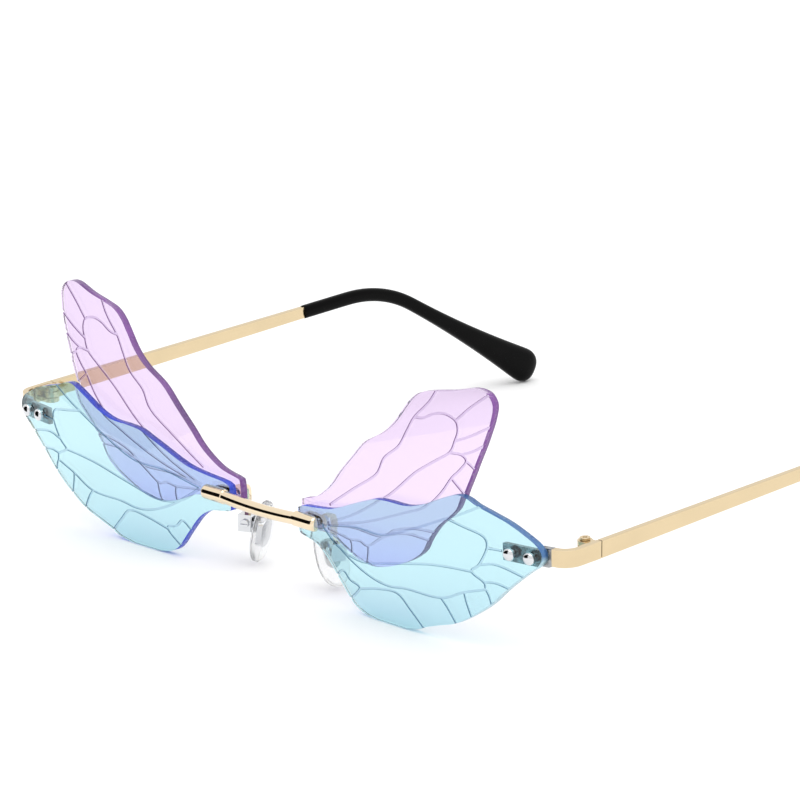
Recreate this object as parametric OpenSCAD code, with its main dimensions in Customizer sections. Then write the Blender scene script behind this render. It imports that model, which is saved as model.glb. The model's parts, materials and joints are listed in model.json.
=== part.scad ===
/* [Lenses] */
// Thickness of every lens
lens_t = 1.5; // [1.2:0.1:2]
// Radius of the lens blanks at their front face
lens_r = 182; // [150:1:260]
// Distance from the centre line to the most forward point of a lens blank
apex_x = 34.8; // [32:0.2:38]
// Height of the most forward point of the lens blanks
apex_z = 29.4; // [27:0.2:32]
// Air gap between a lower wing and the upper wing behind it
wing_gap = 0.15; // [0.1:0.05:0.3]
// Distance from the centre line to the nose end of a lower wing
nose_x = 9.2; // [8.8:0.1:9.8]
// Width of a lower wing from its nose end to its outer corner
lower_span = 60.6; // [58:0.2:64]
// Height of a lower wing from its resting edge to its crest
lower_rise = 27.7; // [26.9:0.2:28.9]
// Width of an upper wing from its nose end to its outer edge
upper_span = 49.3; // [46:0.5:52]
// Height of an upper wing's top above the lower wing's resting edge
upper_top = 46.3; // [44:0.1:49]
// Width of an engraved vein
vein_w = 0.45; // [0.3:0.05:0.7]
// Depth of an engraved vein
vein_d = 0.25; // [0.1:0.05:0.5]

/* [Bridge] */
// Height of the bridge bar's rounded front
bar_h = 2.3; // [2.1:0.1:2.5]
// Height of the bar's ends, where they lie on the lenses
bar_end_h = 2.8; // [2.6:0.1:3]
// How far the bar stands forward of the lenses
bar_proud = 1.5; // [1.3:0.1:1.8]
// Height of the bridge bar's middle above the table
bar_z = 13.9; // [13.7:0.1:14.2]
// How far the bar's middle hangs below its ends
bar_sag = 0.4; // [0.2:0.1:0.6]
// Distance from the centre line to the rounded tips of the bar
bar_reach = 15.2; // [15:0.1:15.8]
// Distance between the two screws in one end of the bar
bar_screw_pitch = 3; // [2.8:0.1:3.2]
// Diameter of the bridge screws
bar_screw_d = 1.1; // [0.9:0.1:1.2]

/* [Nose pads] */
// Distance from the centre line to the pad pivot
pivot_x = 12.4; // [12:0.1:13.2]
// Distance of the pad pivot behind the front of the lenses
pivot_y = 9.5; // [9.3:0.1:10.2]
// Height of the pad pivot above the table
pivot_z = 7.7; // [7.4:0.1:8.2]
// How far the pads open towards the face, seen from above
pad_splay = 24; // [16:1:30]
// How far the pads open towards the cheeks, seen from the front
pad_flare = 13; // [6:1:15]
// How far the lower ends of the pads lean back towards the cheeks, seen from the side
pad_lean = 10; // [0:1:14]
// How far the middle of a pad lies below its pivot
pad_drop = 0.6; // [0:0.1:1]
// Length of a pad
pad_l = 12.4; // [11:0.2:13.4]
// Width of a pad
pad_w = 6.6; // [6:0.2:7.6]
// Thickness of a pad
pad_t = 2.7; // [2.3:0.1:3.2]
// Width of the strip that carries a pad
arm_w = 1.2; // [1:0.1:1.4]
// Thickness of the strip that carries a pad
arm_t = 0.55; // [0.45:0.05:0.7]
// Diameter of the pad screws
pad_screw_d = 0.9; // [0.7:0.1:1]

/* [Endpieces and hinges] */
// Height of an endpiece and of the front end of a temple
strip_h = 3.1; // [3:0.1:3.4]
// Thickness of the endpieces and temples
strip_t = 1.1; // [0.9:0.1:1.3]
// Height of the middle of the endpieces above the table, where they leave the lenses
strip_z = 19.5; // [19.2:0.1:19.8]
// How far the outer face of a temple stands outside its lens
flank = 4.2; // [4:0.1:4.8]
// Thickness of the plates behind the lenses
plate_t = 0.9; // [0.7:0.1:1.1]
// Distance between the two pins of an endpiece
pin_pitch = 4.2; // [3.8:0.1:4.6]
// Diameter of the pins through a lens
pin_d = 1.2; // [1:0.1:1.4]
// Diameter of the pin heads in front of a lens
pin_head_d = 2.3; // [2:0.1:2.6]
// How far the pin heads stand forward of the lens
pin_head_h = 1; // [0.7:0.1:1.4]
// Distance from the front of the lenses back to the temple joint
joint_y = 13.8; // [13.4:0.1:15]
// Gap between an endpiece and its open temple
joint_gap = 0.2; // [0.15:0.05:0.3]
// Diameter of a hinge barrel
barrel_d = 2.7; // [2.5:0.1:2.9]
// Diameter of the hinge screws
hinge_screw_d = 1; // [0.8:0.1:1.2]
// Radial clearance of the moving barrel on its screw
run_gap = 0.05; // [0.03:0.01:0.08]

/* [Temples] */
// Distance from the temple joint to the mouth of the black tip
bar_len = 63.4; // [58:0.2:70]
// Height of a temple where it enters its tip
strip_end_h = 2.2; // [1.9:0.1:2.4]
// Distance from the mouth of the tip to the start of the ear bend
tip_straight = 11.8; // [10:0.2:17]
// Radius of the ear bend
ear_r = 30; // [26:1:36]
// Length of the straight ear piece from the bend to the centre of its round end
ear_len = 35.6; // [33:0.2:39]
// How far a temple rises towards the rear, in degrees
temple_pitch = 4; // [3.4:0.1:4.6]
// How far a temple closes in towards the rear, in degrees
toe_in = 0.8; // [0:0.1:1.5]
// Height of a tip at its mouth
tip_mouth_h = 2.7; // [2.6:0.1:3]
// Height of a tip near its end
tip_end_h = 7; // [6:0.1:7.6]
// Thickness of a tip at its mouth
tip_mouth_t = 2.2; // [2:0.1:2.6]
// Thickness of a tip near its end
tip_end_t = 3.7; // [3.2:0.1:4.2]

/* [Hidden] */
// Clearance of a fixed pin, screw or core in its hole
fit = 0.03;
// Space between faces that lie on each other
seat = 0.05;
// Design sizes of the wing drawings below, which the spans above stretch
drawn_lower_span = 60.6;
drawn_lower_rise = 27.7;
drawn_upper_span = 49.3;
drawn_upper_top = 46.3;
drawn_nose_x = 9.2;
drawn_root_z = 14.3;
upper_nose_in = 0.9;
smooth = 5;
blank_fn = 256;
round_fn = 48;

// Corners of the lower wing, from the outer end of its flat resting edge round to the inner end
lower_knots = [
    [36.5, 0], [40.2, 0.6], [42.3, 1.5], [46.1, 2.7], [50, 3.9], [54.6, 6.5], [58.3, 9.1],
    [62, 12.5], [66, 15.8], [69, 18.1], [69.8, 19.9], [68.8, 21.6], [66.3, 23.1], [63, 24.6],
    [59.7, 25.6], [56, 26.6], [54, 27.4], [52, 27.7], [49.8, 27.1], [47, 25.9], [43.4, 24.3],
    [39.5, 23.3], [35, 23.2], [31.7, 22.9], [29.3, 22.1], [25.5, 20.7], [21.5, 19.1], [18.6, 18.2],
    [14.3, 17.5], [11.2, 17.1], [9.7, 16.6], [9.2, 15.8], [9.2, 12.4], [9.7, 11.6], [11.5, 11.3],
    [14.3, 10.8], [17.1, 9.1], [20.4, 5.5], [23.6, 1.9], [26.3, 0.5], [29.5, 0]
];
// Corners of the upper wing, all the way round from the lower nose corner
upper_knots = [
    [8.8, 12.9], [8.3, 13.6], [8.3, 16.8], [8.8, 17.6], [11.3, 18.3], [13.3, 19.1], [16, 20.9],
    [18, 22.7], [20, 25], [23.5, 28.5], [27.1, 32], [31.7, 34.6], [34.6, 37], [37, 40],
    [38.8, 42.1], [41, 43.6], [44.2, 44.4], [48.5, 45.2], [52.8, 46.3], [55.6, 46.1], [57, 45.1],
    [57.6, 43.6], [57.2, 41], [56.4, 38.5], [55.6, 36.3], [54.4, 33.5], [53.2, 30.6], [52, 28],
    [50.7, 24.9], [48.6, 22.8], [46.2, 20.8], [43.9, 18], [42.4, 15.6], [40.8, 14.2], [38.3, 12.7],
    [34.2, 11], [29.4, 9.9], [25, 10.5], [21.8, 11.7], [18.6, 13], [15, 13.2], [11.5, 12.6]
];
// Veins of the lower wing: three long ones from the root, a cross vein and short ones to the edge
lower_veins = [
    [[16.6, 14.6], [20, 12.4], [24.4, 9.9], [29.5, 8], [34, 7.4], [38.7, 7.9], [46.9, 8],
     [52.5, 10.2], [57.5, 11.7]],
    [[16.6, 14.6], [20.9, 11.7], [27.2, 10.4], [35.8, 12], [43.9, 13.6], [49.4, 14.2], [54.5, 14.4]],
    [[16.6, 14.8], [25.7, 16.6], [33.4, 16.8], [41.4, 19.6], [49.3, 23], [52.8, 24.5], [57.8, 27]],
    [[57.5, 11.7], [57.1, 13], [54.5, 14.4], [56.3, 16], [58.2, 19.4], [57.4, 21.4], [53, 22.3],
     [49.3, 23]],
    [[25.9, 5], [31.2, 6.2], [36, 6.5], [39.2, 3.9], [42.8, 0.4]],
    [[21.4, 1.2], [25.9, 5], [23.4, 6.1], [21.4, 7.4], [18, 4.3]],
    [[46.9, 8], [48.4, 6.3], [50.8, 2.6]],
    [[52.5, 10.2], [53, 8], [54.2, 4.6]],
    [[57.5, 11.7], [58.2, 10.4], [58.9, 7.6]],
    [[57.1, 13], [60, 13.3], [64.4, 12.4]],
    [[56.3, 16], [60.5, 16.7], [68, 15]],
    [[58.2, 19.4], [60.2, 19.5], [61.4, 19.5]]
];
// Veins of the upper wing
upper_veins = [
    [[46, 47], [43.4, 42.6], [39.8, 39], [38.1, 36.3], [36, 33], [32.4, 30.2], [30.2, 26.7],
     [24.2, 22.9], [17, 18.3]],
    [[39.8, 39], [42, 39.3], [44.6, 40.5], [47.1, 40.9], [49.5, 40.1], [50.1, 38.4], [49.5, 36.5],
     [48.4, 34.3], [45.1, 32.2], [40.1, 29], [34, 24], [25.9, 19], [17.2, 15.2]],
    [[48.4, 34.3], [51, 34.4], [52.2, 33.4], [50.6, 31.4], [48.9, 29.8], [46.4, 26.6],
     [43, 23.6], [38.6, 21.8], [28.5, 18], [17.2, 15]],
    [[49.5, 40.1], [53, 43.2], [58.2, 47]],
    [[49.5, 36.5], [53.6, 38.3], [58.8, 41.2]],
    [[51, 34.4], [54, 35.6], [57.8, 37.9]],
    [[52.2, 33.4], [53.6, 32.7], [56.2, 30.7]],
    [[48.9, 29.8], [50.2, 28.8], [53.4, 26.3]],
    [[17.2, 14.2], [20.5, 13.9], [23.5, 13.6], [26, 13.9], [28.4, 13.5], [33, 16.2],
     [38.5, 17.9], [44.9, 17.8]],
    [[28.4, 13.5], [28.1, 11.6], [27.2, 8.6]],
    [[23.5, 13.6], [23.8, 12.2], [23.3, 9.4]],
    [[17.2, 14.8], [24.5, 16], [31.9, 16], [36, 18.1], [40.9, 19.3], [47.2, 19.6]]
];

// A smooth curve through points, which starts and ends along its first and last stretches
function curve_at(a, b, c, d, t) =
    0.5 * (2 * b + (c - a) * t + (2 * a - 5 * b + 4 * c - d) * t * t + (3 * b - a - 3 * c + d) * t * t * t);
function open_curve(k, n = smooth) = let (m = len(k)) concat(
    [for (i = [0 : m - 2], j = [0 : n - 1])
        curve_at(i > 0 ? k[i - 1] : 2 * k[0] - k[1], k[i], k[i + 1],
                 i < m - 2 ? k[i + 2] : 2 * k[m - 1] - k[m - 2], j / n)],
    [k[m - 1]]);
function closed_curve(k, n = smooth) = let (m = len(k))
    [for (i = [0 : m - 1], j = [0 : n - 1])
        curve_at(k[(i + m - 1) % m], k[i], k[(i + 1) % m], k[(i + 2) % m], j / n)];
// The two long sides of a ribbon that follows a path
function turn_left(v) = [-v[1], v[0]] / norm(v);
function side_of(p, i) = turn_left(p[min(i + 1, len(p) - 1)] - p[max(i - 1, 0)]);
function ribbon(p, w) = concat(
    [for (i = [0 : len(p) - 1]) p[i] + side_of(p, i) * w / 2],
    [for (i = [len(p) - 1 : -1 : 0]) p[i] - side_of(p, i) * w / 2]);
function heading(a) = [cos(a), sin(a)];
function arc(c, r, a0, a1, n = 8) = [for (i = [0 : n]) c + r * heading(a0 + (a1 - a0) * i / n)];
function round_box(w, h, r) = concat(
    arc([w / 2 - r, h / 2 - r], r, 0, 90), arc([r - w / 2, h / 2 - r], r, 90, 180),
    arc([r - w / 2, r - h / 2], r, 180, 270), arc([w / 2 - r, r - h / 2], r, 270, 360));

// Wing drawings stretched to the chosen spans; an upper wing is stretched about its root at the bridge
root_z = bar_z + bar_sag;
function on_lower(p) = [nose_x + (p[0] - drawn_nose_x) * lower_span / drawn_lower_span,
                        p[1] * lower_rise / drawn_lower_rise];
function on_upper(p) = [
    nose_x - upper_nose_in + (p[0] - drawn_nose_x + upper_nose_in) * upper_span / drawn_upper_span,
    root_z + (p[1] - drawn_root_z) * (upper_top - root_z) / (drawn_upper_top - drawn_root_z)];

// Depth of a lens blank's front face behind its most forward point
function face_y(x, z) = lens_r - sqrt(lens_r * lens_r - pow(x - apex_x, 2) - pow(z - apex_z, 2));

upper_depth = lens_t + wing_gap;
bridge_plate_depth = upper_depth + lens_t + seat;
plate_depth = lens_t + seat;
outer_x = nose_x + lower_span;
flank_x = outer_x + flank;
inner_x = flank_x - strip_t;
strip_mid_x = flank_x - strip_t / 2;
pin_x = outer_x - 4.6;
pin_z = strip_z - 0.3;
hinge_foot_t = 0.3;
hinge_x = inner_x - hinge_foot_t - 0.15 - barrel_d / 2;
hinge_y = joint_y - 1;
temple_y = joint_y + joint_gap;
drill_depth = bridge_plate_depth + 2 * plate_t;
bridge_x = bar_reach - 3.1;

// Height of the strip's middle, which rises towards the temple joint
wrap = asin((outer_x - apex_x) / lens_r);
arm_y = face_y(outer_x, strip_z) + plate_depth + 0.05;
arm_rise = tan(temple_pitch);
function strip_mid(y) = strip_z + (y - arm_y) * arm_rise;
temple_z = strip_mid(temple_y);

// Centre line of a temple seen from the side: along the bar, round the ear bend, down to the table
bend_y = bar_len + tip_straight;
bend_lead = 6;
core_len = 0.86;
function pitched(s) = s * heading(temple_pitch);
bend_c = pitched(bend_y) + ear_r * [sin(temple_pitch), -cos(temple_pitch)];
ear_end_z = tip_end_h / 2 - temple_z;
ear_dir = asin((ear_end_z - bend_c[1]) / norm([ear_r, ear_len])) - atan2(ear_r, ear_len);
bend_end = bend_c + ear_r * [-sin(ear_dir), cos(ear_dir)];
ear_end = bend_end + ear_len * heading(ear_dir);
function ear_arc(n) = [for (i = [0 : n]) let (a = temple_pitch + (ear_dir - temple_pitch) * i / n)
    bend_c + ear_r * [-sin(a), cos(a)]];
reach_y = temple_y + (ear_end[0] + tip_end_h / 2) * cos(toe_in);
mid_y = reach_y / 2;

gold = "#ecd6a6";
silver = "#c9ccd1";
cyan = [0.55, 0.88, 0.98, 0.6];
pink = [0.93, 0.75, 0.98, 0.6];

// The origin lies half the overall depth behind the lenses; the wearer's right side mirrors the left
module placed() translate([0, -mid_y, 0]) children();
module left() placed() children();
module right() mirror([1, 0, 0]) placed() children();

// A solid that runs front to back from an outline drawn in front view
module slab(front, back) translate([0, back, 0]) rotate([90, 0, 0])
    linear_extrude(back - front) children();
// The layer between two depths behind the front face of the lens blanks
module layer(from, to) translate([apex_x, lens_r, apex_z]) difference() {
    sphere(r = lens_r - from, $fn = blank_fn);
    sphere(r = lens_r - to, $fn = blank_fn);
}
// Stands children on the lens blank at a point, with +Z pointing forward out of its face
module on_face(x, z) {
    n = [x - apex_x, face_y(x, z) - lens_r, z - apex_z] / lens_r;
    translate([x, face_y(x, z), z]) rotate([0, acos(n[2]), atan2(n[1], n[0])]) children();
}
module bridge_points() for (i = [-1, 1])
    on_face(bridge_x + i * bar_screw_pitch / 2, root_z) children();
module pin_points() for (i = [-1, 1]) on_face(pin_x + i * pin_pitch / 2, pin_z) children();
module drill(d) translate([0, 0, -drill_depth]) cylinder(d = d, h = drill_depth + lens_t, $fn = round_fn);

module wing(outline, veins, depth) difference() {
    intersection() {
        slab(-2, 14) polygon(outline);
        layer(depth, depth + lens_t);
    }
    difference() {
        slab(-3, 15) offset(delta = 0.004) union() {
            for (v = veins) polygon(ribbon(v, vein_w));
        }
        translate([apex_x, lens_r, apex_z]) sphere(r = lens_r - depth - vein_d, $fn = blank_fn);
    }
    bridge_points() drill(bar_screw_d + 2 * fit);
}
module lower_wing() color(cyan) difference() {
    wing([for (p = open_curve(lower_knots)) on_lower(p)],
         [for (v = lower_veins) [for (p = open_curve(v)) on_lower(p)]], 0);
    pin_points() drill(pin_d + 2 * fit);
}
module upper_wing() color(pink)
    wing([for (p = closed_curve(upper_knots)) on_upper(p)],
         [for (v = upper_veins) [for (p = open_curve(v)) on_upper(p)]], upper_depth);

// Bar across the nose: a rounded middle that sags a little and two taller ends on the lower wings
bar_end_len = 5.8;
bar_front = face_y(bridge_x, bar_z) - bar_proud;
bar_half = bar_reach - bar_end_len + 0.4;
bar_mid_r = bar_half * bar_half / 2 / bar_sag;
module bar_end() translate([bar_reach - bar_end_len, bar_front + bar_end_h / 2, bar_z + bar_sag])
    rotate([0, 90, 0]) {
        cylinder(d = bar_end_h, h = bar_end_len - bar_end_h / 2, $fn = round_fn);
        translate([0, 0, bar_end_len - bar_end_h / 2]) sphere(d = bar_end_h, $fn = round_fn);
    }
module bar_middle() {
    half = asin(bar_half / bar_mid_r);
    translate([0, bar_front + bar_h / 2 + 0.1, bar_z + bar_mid_r]) rotate([90, 90 + half, 0])
        rotate_extrude(angle = 2 * half, $fn = blank_fn) translate([bar_mid_r, 0]) difference() {
            circle(d = bar_h, $fn = round_fn);
            translate([-bar_h, -1.2 * bar_h]) square([2 * bar_h, bar_h]);
        }
}
module bridge_bar() placed() color(gold) difference() {
    union() {
        bar_middle();
        for (m = [0, 1]) mirror([m, 0, 0]) difference() {
            bar_end();
            translate([0, bar_front + 0.8 * bar_h, bar_z + bar_sag - bar_end_h])
                cube([bar_reach + 1, 2 * bar_end_h, 2 * bar_end_h]);
        }
    }
    for (m = [0, 1]) mirror([m, 0, 0]) {
        translate([apex_x, lens_r, apex_z]) sphere(r = lens_r + seat, $fn = blank_fn);
        bridge_points() translate([0, 0, -1]) cylinder(d = bar_screw_d + 2 * fit, h = 1.7, $fn = round_fn);
    }
}
screw_head_h = 0.5;
screw_head_d = bar_screw_pitch - arm_w - 0.3;
module bridge_screws() color(silver) bridge_points() {
    translate([0, 0, -bridge_plate_depth - plate_t])
        cylinder(d = bar_screw_d, h = bridge_plate_depth + plate_t + 0.65, $fn = round_fn);
    translate([0, 0, -bridge_plate_depth - plate_t - seat - screw_head_h]) difference() {
        cylinder(d = screw_head_d, h = screw_head_h + seat, $fn = round_fn);
        translate([-screw_head_d, -0.12, -screw_head_h]) cube([2 * screw_head_d, 0.24, 1.5 * screw_head_h]);
    }
}

// Plate behind the bridge with the bent strip, between the screw heads, that carries a pad box
module pad_frame() translate([pivot_x, pivot_y, pivot_z]) rotate([0, 0, -pad_splay]) children();
box_w = 2.6;
box_h = 3.2;
box_d = 2.5;
box_back = 1.4;
box_wall = 0.5;
arm_top_z = bar_z + 0.9;
arm_root_share = (bridge_plate_depth + plate_t + screw_head_h / 2) / lens_r;
arm_root_x = bridge_x + arm_root_share * (apex_x - bridge_x);
arm_root_y = face_y(bridge_x, bar_z) + arm_root_share * (lens_r - face_y(bridge_x, bar_z));
arm_back = norm([pivot_x - arm_root_x, pivot_y - arm_root_y]);
arm_turn = atan((pivot_x - arm_root_x) / (pivot_y - arm_root_y));
module pad_arm() color(gold) {
    difference() {
        intersection() {
            slab(-2, 14) translate([bridge_x, bar_z + bar_sag])
                polygon(round_box(bar_screw_pitch + 2.6, 2.5, 1));
            layer(bridge_plate_depth, bridge_plate_depth + plate_t);
        }
        bridge_points() drill(bar_screw_d + 2 * fit);
    }
    rise = arm_top_z - pivot_z;
    bend = [[-arm_back - (plate_t + screw_head_h) / 2, rise - 0.7], [-2, rise - 0.1],
            [-0.5, rise - 0.1], [0.1, rise - 1], [0.15, rise - 3], [0, box_h / 2 + 1.2], [0, box_h / 2]];
    translate([pivot_x, pivot_y, pivot_z]) rotate([0, 0, -arm_turn]) translate([-arm_w / 2, 0, 0])
        rotate([90, 0, 90]) linear_extrude(arm_w) polygon(ribbon(open_curve(bend), arm_t));
}
// Box, open in front and below, that holds the pad's tab between two cheeks
module pad_box() color(silver) pad_frame() difference() {
    translate([box_back - box_d, -box_w / 2, -box_h / 2]) cube([box_d, box_w, box_h]);
    translate([-box_d, -box_w / 2 + box_wall, -box_h])
        cube([box_d + box_back - box_wall, box_w - 2 * box_wall, 1.5 * box_h - box_wall]);
    rotate([90, 0, 0]) cylinder(d = pad_screw_d + 2 * fit, h = 4 * box_w, center = true, $fn = round_fn);
}
module pad_screw() color(silver) pad_frame() rotate([90, 0, 0]) difference() {
    union() {
        cylinder(d = pad_screw_d, h = box_w + 0.2, center = true, $fn = round_fn);
        translate([0, 0, box_w / 2 + seat]) cylinder(d = pad_screw_d + 0.7, h = 0.4, $fn = round_fn);
    }
    translate([-1, -0.1, box_w / 2 + 0.25]) cube([2, 0.2, 1]);
}
// Metal core of a pad: an oval plate moulded into it and a drilled tab
tab_t = box_w - 2 * box_wall - 0.3;
pad_off = box_d - box_back + 0.8 + pad_t / 2;
pad_ahead = 0.4;
core_t = 0.5;
module pad_tilted() pad_frame() rotate([0, -pad_flare, 0]) children();
module pad_leaned() translate([-pad_off, -pad_ahead, -pad_drop]) rotate([pad_lean, 0, 0]) children();
module core_plate(grow) pad_leaned() translate([-core_t / 2 - grow, 0, 0]) rotate([90, 0, 90])
    linear_extrude(core_t + 2 * grow) polygon(round_box(3.4 + 2 * grow, 5.6 + 2 * grow, 1.6));
module core_tab(grow) translate([-pad_off, -tab_t / 2 - grow, -0.6 - grow])
    cube([pad_off, tab_t + 2 * grow, 1.2 + 2 * grow]);
module pad_core() color(silver) pad_tilted() difference() {
    union() {
        core_plate(0);
        core_tab(0);
        rotate([90, 0, 0]) cylinder(d = 1.5, h = tab_t, center = true, $fn = round_fn);
    }
    rotate([90, 0, 0]) cylinder(d = pad_screw_d + 2 * run_gap, h = 4, center = true, $fn = round_fn);
}
// Soft pad: a loft of rounded outlines, flat behind and crowned towards the nose
pad_rings = [
    [-0.5, 0.86], [-0.36, 0.97], [-0.1, 1], [0.15, 0.97], [0.34, 0.86], [0.46, 0.68], [0.5, 0.42]];
pad_sides = 28;
function power(v, e) = sign(v) * pow(abs(v), e);
function pad_ring(t, s) = [for (i = [0 : pad_sides - 1]) let (a = 360 * i / pad_sides)
    [-t * pad_t,
     s * pad_w / 2 * power(cos(a), 0.86) * (1 - 0.1 * sin(a)),
     s * pad_l / 2 * power(sin(a), 0.9)]];
module loft(rings) {
    n = len(rings[0]);
    m = len(rings);
    polyhedron(
        points = [for (r = rings) for (p = r) p],
        faces = concat(
            [[for (i = [0 : n - 1]) n - 1 - i]],
            [for (j = [0 : m - 2], i = [0 : n - 1])
                [j * n + i, j * n + (i + 1) % n, (j + 1) * n + (i + 1) % n]],
            [for (j = [0 : m - 2], i = [0 : n - 1])
                [j * n + i, (j + 1) * n + (i + 1) % n, (j + 1) * n + i]],
            [[for (i = [0 : n - 1]) (m - 1) * n + i]]),
        convexity = 4);
}
module nose_pad() color([0.93, 0.94, 0.95, 0.7]) pad_tilted() difference() {
    pad_leaned() loft([for (r = pad_rings) pad_ring(r[0], r[1])]);
    core_plate(fit);
    core_tab(fit);
}

// Bent endpiece: a plate behind the lens that runs on past its edge and turns back to the hinge
bend_r = 3.6;
plate_in = 4.4;
along = heading(wrap);
arm_start = [outer_x, arm_y];
arm_c = [flank_x - bend_r, arm_y + (bend_r + sin(wrap) * (flank_x - bend_r - outer_x)) / cos(wrap)];
module arm_plan() polygon(concat(
    [arm_start - 1.6 * along],
    arc(arm_c, bend_r, wrap - 90, 0, 12),
    [[flank_x, joint_y], [inner_x, joint_y]],
    arc(arm_c, bend_r - strip_t, 0, wrap - 90, 8),
    [arm_start - 1.6 * along + strip_t * [-along[1], along[0]]]));
module endpiece() color(gold) difference() {
    intersection() {
        union() {
            intersection() {
                slab(-2, 14) translate([pin_x - plate_in, pin_z - strip_h / 2])
                    square([outer_x - pin_x + plate_in, strip_h]);
                layer(plate_depth, plate_depth + plate_t);
            }
            translate([0, 0, strip_mid(0) - strip_h / 2])
                multmatrix([[1, 0, 0, 0], [0, 1, 0, 0], [0, arm_rise, 1, 0]])
                linear_extrude(strip_h) arm_plan();
        }
        translate([apex_x, lens_r, apex_z]) sphere(r = lens_r - plate_depth, $fn = blank_fn);
    }
    pin_points() drill(pin_d + 2 * fit);
}
module lens_pins() color(silver) pin_points() {
    translate([0, 0, -plate_depth - plate_t - 0.2])
        cylinder(d = pin_d, h = plate_depth + plate_t + 0.4, $fn = round_fn);
    translate([0, 0, -plate_depth - plate_t - seat - 0.35])
        cylinder(d = pin_d + 0.6, h = 0.35, $fn = round_fn);
    translate([0, 0, seat]) cylinder(d = pin_head_d, h = pin_head_h - 0.4, $fn = round_fn);
    translate([0, 0, seat + pin_head_h - 0.4])
        cylinder(d1 = pin_head_d, d2 = pin_head_d - 0.9, h = 0.4, $fn = round_fn);
}

// Hinge with two outer barrels on the endpiece and one between them on the temple
barrel_h = strip_h - 0.1;
mid_h = 1.1;
leaf_gap = 0.1;
outer_h = (barrel_h - mid_h) / 2 - leaf_gap;
module at_hinge() translate([hinge_x, hinge_y, strip_mid(hinge_y)]) rotate([temple_pitch, 0, 0])
    translate([0, 0, -barrel_h / 2]) children();
module front_lobe(h) linear_extrude(h) union() {
    circle(d = barrel_d, $fn = round_fn);
    translate([0, -barrel_d / 2]) square([inner_x - hinge_x - hinge_foot_t / 2, barrel_d / 2 + 0.9]);
}
module front_hinge() color(gold) at_hinge() difference() {
    union() {
        front_lobe(outer_h);
        translate([0, 0, barrel_h - outer_h]) front_lobe(outer_h);
        translate([inner_x - hinge_x - hinge_foot_t - seat, -2.6, 0]) cube([hinge_foot_t, 3.5, barrel_h]);
    }
    translate([0, 0, -1]) cylinder(d = hinge_screw_d + 2 * fit, h = barrel_h + 2, $fn = round_fn);
}
module hinge_screw() color(silver) at_hinge() difference() {
    union() {
        cylinder(d = hinge_screw_d, h = barrel_h + seat, $fn = round_fn);
        translate([0, 0, barrel_h + seat]) cylinder(d = hinge_screw_d + 0.9, h = 0.4, $fn = round_fn);
    }
    for (a = [0, 90]) translate([0, 0, barrel_h + 0.25]) rotate([0, 0, a])
        translate([-0.55, -0.12, 0]) cube([1.1, 0.24, 1]);
}
module temple_hinge() color(gold) at_hinge() translate([0, 0, outer_h + leaf_gap]) difference() {
    linear_extrude(mid_h) union() {
        circle(d = barrel_d, $fn = round_fn);
        translate([-barrel_d / 2, 0]) square([barrel_d, temple_y - hinge_y + 1]);
        translate([0, temple_y - hinge_y + 0.1]) square([inner_x - hinge_x - seat, 3]);
    }
    translate([0, 0, -1]) cylinder(d = hinge_screw_d + 2 * run_gap, h = mid_h + 2, $fn = round_fn);
}

// Temple: a flat bar that tapers to the rear, with a thin core that runs on inside the tip
core_h = 1.3;
core_w = 0.9;
core_lap = 2;
socket_in = 1;
module side_view(t) rotate([90, 0, 90]) translate([0, 0, -t / 2]) linear_extrude(t) children();
module at_temple() translate([strip_mid_x, temple_y, temple_z]) rotate([0, 0, toe_in]) children();
core_path = concat([pitched(bar_len - core_lap)], [pitched(bar_len + bend_lead)], ear_arc(10),
                   [bend_end + (ear_end - bend_end) * core_len]);
module temple() color(gold) at_temple() {
    side_view(strip_t) polygon([
        [0, -strip_h / 2], [0, strip_h / 2],
        pitched(bar_len + socket_in) + [0, strip_end_h / 2],
        pitched(bar_len + socket_in) - [0, strip_end_h / 2]]);
    side_view(core_w) polygon(ribbon(core_path, core_h));
}
// Black tip: a loft round the centre line that swells towards its round end
tip_sides = 16;
cap_angles = [25, 45, 62, 76, 88];
tip_path = concat(
    [pitched(bar_len), pitched(bar_len + tip_straight / 2)],
    ear_arc(8),
    [for (t = [0.25, 0.5, 0.75, 1]) bend_end + (ear_end - bend_end) * t],
    [for (a = cap_angles) ear_end + sin(a) * tip_end_h / 2 * heading(ear_dir)]);
tip_len = len(tip_path);
cap_from = tip_len - 1 - len(cap_angles);
ear_from = 10;
function tip_cap(i) = i > cap_from ? cos(cap_angles[i - cap_from - 1]) : 1;
function swell(i) = max(0, min(1, (i - ear_from) / (cap_from - ear_from)));
function tip_h(i) = tip_cap(i) * (tip_mouth_h + (tip_end_h - tip_mouth_h) * pow(swell(i), 1.1));
function tip_t(i) = tip_cap(i) * (tip_mouth_t + (tip_end_t - tip_mouth_t) * swell(i));
function tip_ring(i) = [for (k = [0 : tip_sides - 1])
    let (a = 360 * k / tip_sides, n = side_of(tip_path, i) * tip_h(i) / 2 * power(sin(a), 0.85))
    [tip_t(i) / 2 * power(cos(a), 0.85), tip_path[i][0] + n[0], tip_path[i][1] + n[1]]];
module temple_tip() color("#17181a") at_temple() difference() {
    loft([for (i = [0 : tip_len - 1]) tip_ring(tip_len - 1 - i)]);
    side_view(core_w + 2 * fit) polygon(ribbon(core_path, core_h + 2 * fit));
    side_view(strip_t + 2 * fit) polygon([
        pitched(bar_len - core_lap) - [0, strip_end_h / 2 + 0.1],
        pitched(bar_len - core_lap) + [0, strip_end_h / 2 + 0.1],
        pitched(bar_len + socket_in) + [0.02, strip_end_h / 2 + fit],
        pitched(bar_len + socket_in) + [0.02, -strip_end_h / 2 - fit]]);
}

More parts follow.
